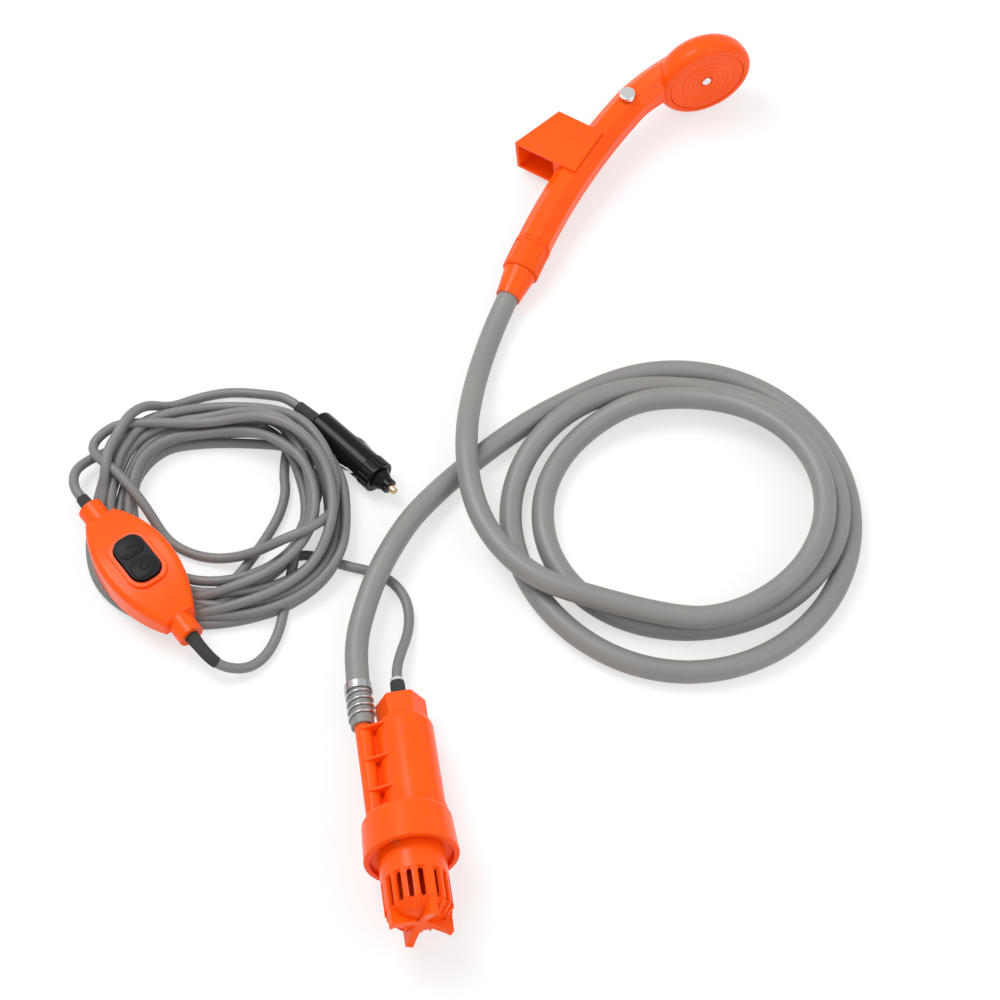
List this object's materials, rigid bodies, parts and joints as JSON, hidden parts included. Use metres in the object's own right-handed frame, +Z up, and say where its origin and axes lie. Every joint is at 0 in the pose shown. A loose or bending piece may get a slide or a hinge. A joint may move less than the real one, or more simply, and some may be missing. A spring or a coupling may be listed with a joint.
{
  "type": "portable shower",
  "caption": "Portable camp shower: submersible pump with strainer, coiled hose, handset with shut-off button and hanging bracket, and cord with rocker switch and 12 V plug.",
  "frame": {"origin": "on the floor, under the middle of the box round the pump and the handset as they lie", "axes": "+Z up, +Y from the pump towards the handset, +X towards the coil of hose"},
  "size_m": [0.455, 0.5993, 0.0612],
  "materials": {
    "orange_plastic": "glossy moulded",
    "chrome": "polished",
    "steel": "drawn wire and sheet",
    "white_plastic": "moulded",
    "brass": "turned",
    "plated_contact": "nickel plated spring sheet",
    "black_rubber": "matte moulded",
    "grey_hose": "satin extruded",
    "grey_cord": "satin extruded",
    "clear_plastic": "translucent nylon",
    "black_plastic": "glossy moulded",
    "fuse_glass": "clear tube with metal caps"
  },
  "bodies": {
    "shower": {"cable_gland": "black_rubber", "clamp_wire_coil": "steel", "cord_coil": "grey_cord", "cord_lead_plug": "grey_cord", "cord_lead_pump": "grey_cord", "cord_lead_switch_lower": "grey_cord", "cord_lead_switch_upper": "grey_cord", "face_gasket": "black_rubber", "face_plate": "orange_plastic", "face_screw": "chrome", "gland_tie": "clear_plastic", "handset_body": "orange_plastic", "hanging_bracket": "orange_plastic", "hose_clamp": "steel", "hose_coil": "grey_hose", "hose_ferrule": "brass", "hose_lead_handset": "grey_hose", "hose_lead_pump": "grey_hose", "hose_nipple": "brass", "housing_o_ring": "black_rubber", "impeller_cover": "white_plastic", "motor_can": "steel", "motor_end_cap": "white_plastic", "nut_washer": "black_rubber", "plug_body": "black_plastic", "plug_nose": "black_plastic", "plug_strain_relief": "black_rubber", "pump_housing": "orange_plastic", "pump_strainer": "orange_plastic", "seal_plate": "white_plastic", "shaft_seal": "black_rubber", "strainer_screws": "chrome", "switch_contacts": "brass", "switch_lower_shell": "orange_plastic", "switch_screws": "chrome", "switch_sleeve_lower": "black_rubber", "switch_sleeve_upper": "black_rubber", "switch_upper_shell": "orange_plastic"},
    "rotor": {"motor_shaft": "steel", "impeller": "white_plastic"},
    "rocker": {"switch_rocker": "black_plastic"},
    "button": {"shutoff_button": "chrome", "button_o_rings": "black_rubber"},
    "nut": {"hose_nut": "orange_plastic"},
    "lock_ring": {"plug_ring": "black_plastic"},
    "pin": {"plug_pin": "brass", "plug_fuse": "fuse_glass", "plug_pin_spring": "steel"},
    "contact_left": {"plug_contact_left": "plated_contact"},
    "contact_right": {"plug_contact_right": "plated_contact"}
  },
  "joints": [
    {"name": "rotor_spin", "type": "hinge", "parent": "shower", "child": "rotor", "pos_m": [-0.07632, -0.25463, 0.0259], "axis": [0.1415, -0.9822, 0.1235], "continuous": true},
    {"name": "rocker_tilt", "type": "hinge", "parent": "shower", "child": "rocker", "pos_m": [-0.238, -0.074, 0.0253], "axis": [0.7965, 0.6046, 0], "range_deg": [-5, 5]},
    {"name": "button_press", "type": "slide", "parent": "shower", "child": "button", "axis": [-0.0679, -0.0794, 0.9945], "range_m": [-0.0015, 0.0015]},
    {"name": "nut_turn", "type": "hinge", "parent": "shower", "child": "nut", "pos_m": [-0.01546, 0.15629, 0.01373], "axis": [-0.3948, -0.9133, -0.0999], "continuous": true},
    {"name": "ring_turn", "type": "hinge", "parent": "shower", "child": "lock_ring", "pos_m": [-0.154, 0.04, 0.0102], "axis": [0.7009, -0.7133, 0], "continuous": true},
    {"name": "pin_press", "type": "slide", "parent": "shower", "child": "pin", "axis": [0.7009, -0.7133, 0], "range_m": [-0.0025, 0], "stiffness_N_per_m": 1500, "springref_m": 0.002},
    {"name": "contact_left_press", "type": "slide", "parent": "shower", "child": "contact_left", "axis": [-0.7133, -0.7009, 0], "range_m": [0, 0.001], "stiffness_N_per_m": 1200, "springref_m": -0.001},
    {"name": "contact_right_press", "type": "slide", "parent": "shower", "child": "contact_right", "axis": [0.7133, 0.7009, 0], "range_m": [0, 0.001], "stiffness_N_per_m": 1200, "springref_m": -0.001}
  ]
}
